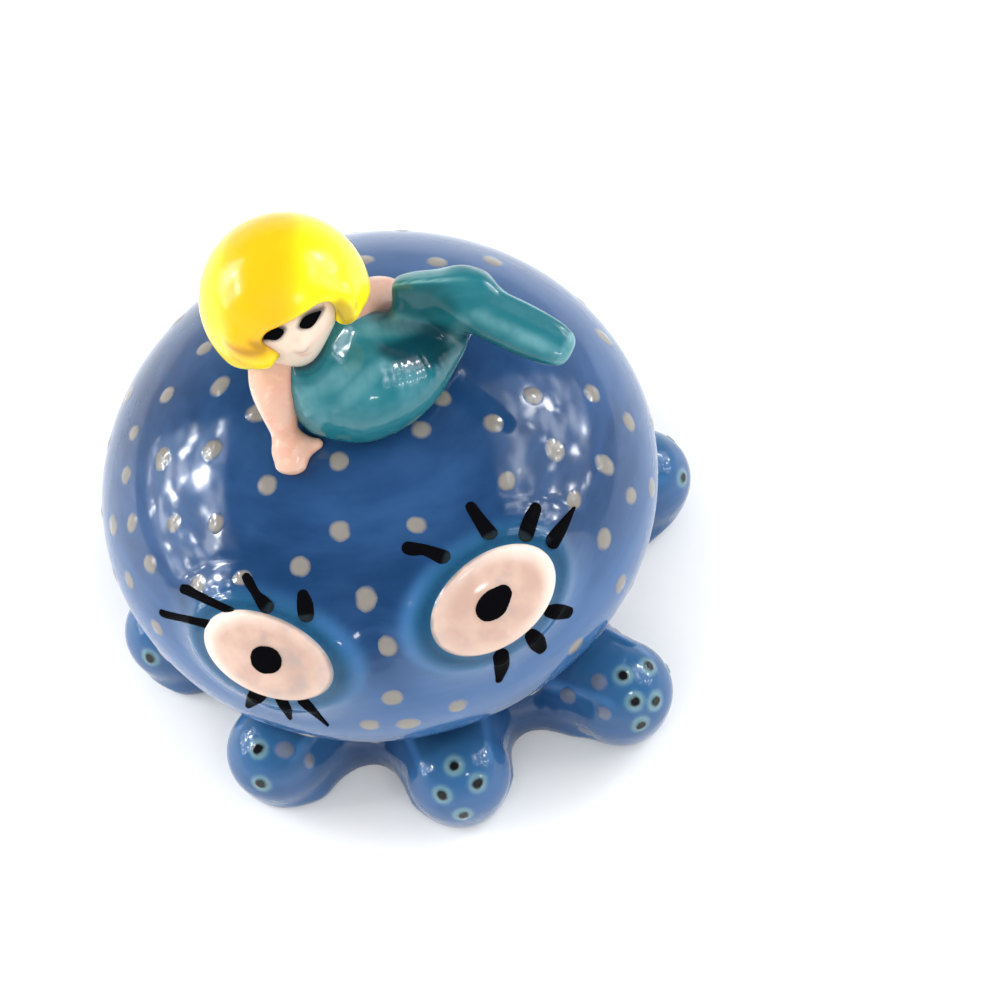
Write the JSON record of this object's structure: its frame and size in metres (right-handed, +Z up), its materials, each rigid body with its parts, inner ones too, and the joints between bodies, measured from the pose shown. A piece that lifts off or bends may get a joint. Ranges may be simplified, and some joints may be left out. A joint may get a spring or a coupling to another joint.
{
  "type": "mermaid on octopus figurine",
  "caption": "Glazed ceramic ornament: a small mermaid with bobbed hair props up on the round dotted head of a big-eyed octopus standing on short stubby tentacles.",
  "frame": {"origin": "middle of the footprint, on the surface that the figurine stands on", "axes": "+Z up; the octopus faces -Y, and +X is to the right as seen from the front"},
  "size_m": [0.0893, 0.0891, 0.0832],
  "materials": {
    "blue_glaze": "gloss glaze, deep blue pooling darker in the hollows, paler where it breaks over edges",
    "eye_glaze": "gloss glaze, pale flesh pink",
    "turquoise_glaze": "gloss glaze, turquoise, darker in the folds",
    "skin_glaze": "gloss glaze, pale skin pink",
    "face_glaze": "gloss glaze, very pale skin pink",
    "yellow_glaze": "gloss glaze, warm yellow, amber where it lies thick",
    "black_enamel": "gloss underglaze black of the pupils, lashes and sucker dots",
    "grey_enamel": "gloss underglaze grey of the polka dots"
  },
  "bodies": {
    "root": {"octopus_head": "blue_glaze", "octopus_right_eye": "eye_glaze", "octopus_left_eye": "eye_glaze", "tentacle_skirt": "blue_glaze", "tentacle_front": "blue_glaze", "tentacle_front_right": "blue_glaze", "tentacle_right": "blue_glaze", "tentacle_back_right": "blue_glaze", "tentacle_back": "blue_glaze", "tentacle_back_left": "blue_glaze", "tentacle_left": "blue_glaze", "tentacle_front_left": "blue_glaze", "mermaid_body": "turquoise_glaze", "mermaid_front_fluke": "turquoise_glaze", "mermaid_back_fluke": "turquoise_glaze", "mermaid_front_arm": "skin_glaze", "mermaid_back_arm": "skin_glaze", "mermaid_head": "face_glaze", "mermaid_hair": "yellow_glaze"}
  },
  "joints": []
}
